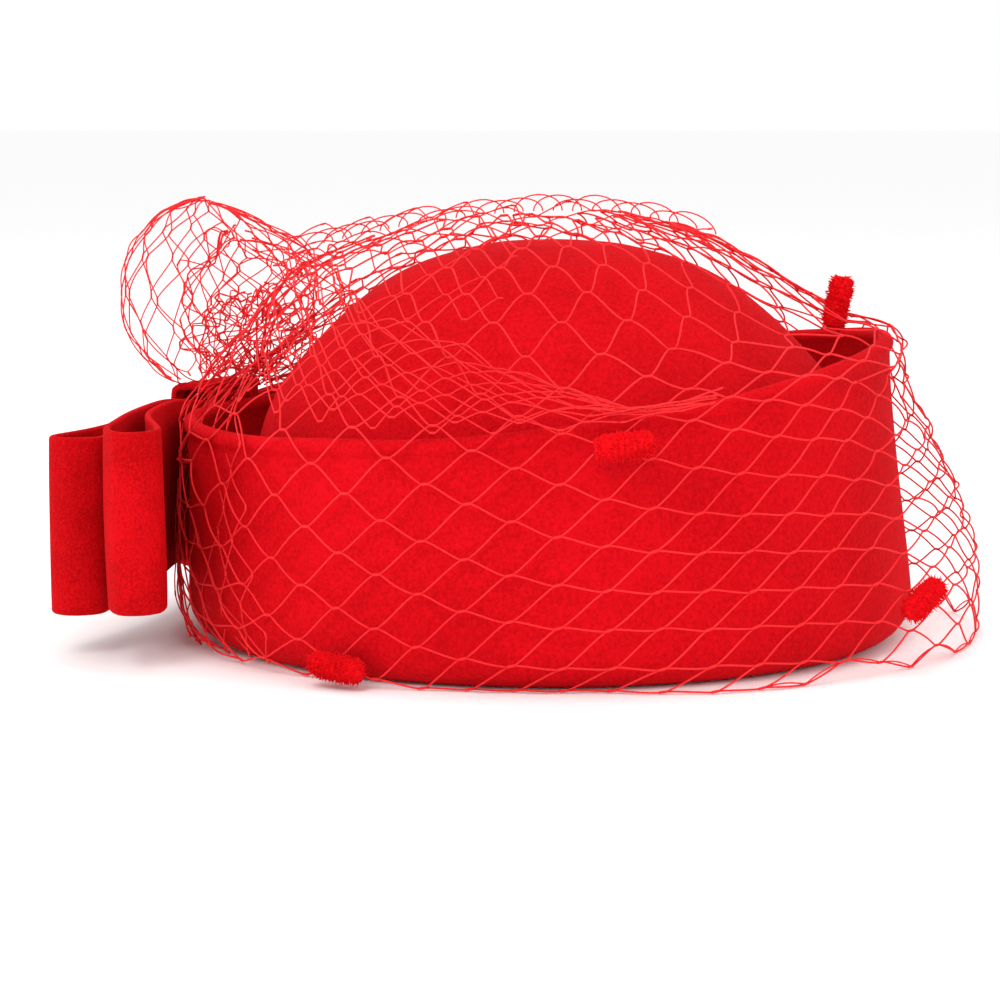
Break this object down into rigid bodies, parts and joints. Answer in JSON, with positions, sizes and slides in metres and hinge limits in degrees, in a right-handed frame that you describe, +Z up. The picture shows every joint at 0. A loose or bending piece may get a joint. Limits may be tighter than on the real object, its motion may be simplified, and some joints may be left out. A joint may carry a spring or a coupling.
{
  "type": "fascinator hat with bow and veil",
  "caption": "Felt hat with a domed crown, an upturned cuff, a looped ribbon bow at the back and a dotted diamond-net veil whose front half lifts; spring hair clips inside.",
  "frame": {"origin": "centre of the head opening, on the plane the hat stands on", "axes": "+Z up through the crown, +X to the front of the hat, +Y to the wearer's left; the bow is at the back, on the -X side"},
  "size_m": [0.2708, 0.2394, 0.128],
  "materials": {
    "felt": "matt wool felt",
    "ribbon": "velvet ribbon",
    "netting": "open diamond net of fine stiff thread",
    "chenille": "fuzzy chenille",
    "grosgrain": "ribbed ribbon",
    "lining": "satin",
    "wire": "millinery wire",
    "clip_steel": "plated sheet steel",
    "spring_steel": "spring wire"
  },
  "bodies": {
    "hat": {"crown": "felt", "cuff": "felt", "lip_wire": "wire", "sweatband": "grosgrain", "lining_side": "lining", "lining_tip": "lining", "bow_backing": "felt", "bow_lower_loops": "ribbon", "bow_upper_loops": "ribbon", "bow_knot": "ribbon", "veil_rear": "netting", "veil_pouf": "netting", "veil_gather": "netting", "dots_rear": "chenille", "clip_tabs": "grosgrain", "clip_base_near": "clip_steel", "clip_base_far": "clip_steel", "clip_pins": "clip_steel", "clip_springs": "spring_steel"},
    "veil_front": {"veil_front": "netting", "dots_front": "chenille"},
    "clip_jaw_near": {"clip_jaw_near": "clip_steel"},
    "clip_jaw_far": {"clip_jaw_far": "clip_steel"}
  },
  "joints": [
    {"name": "veil_lift", "type": "hinge", "parent": "hat", "child": "veil_front", "pos_m": [0, 0, 0.04], "axis": [0, -1, 0], "range_deg": [0, 33]},
    {"name": "clip_near_open", "type": "hinge", "parent": "hat", "child": "clip_jaw_near", "pos_m": [-0.012, -0.0737, 0.013], "axis": [0, 0, 1], "range_deg": [0, 22], "stiffness_Nm_per_rad": 0.02, "springref_deg": -11.46},
    {"name": "clip_far_open", "type": "hinge", "parent": "hat", "child": "clip_jaw_far", "pos_m": [0.016, 0.0737, 0.013], "axis": [0, 0, 1], "range_deg": [0, 22], "stiffness_Nm_per_rad": 0.02, "springref_deg": -11.46}
  ]
}
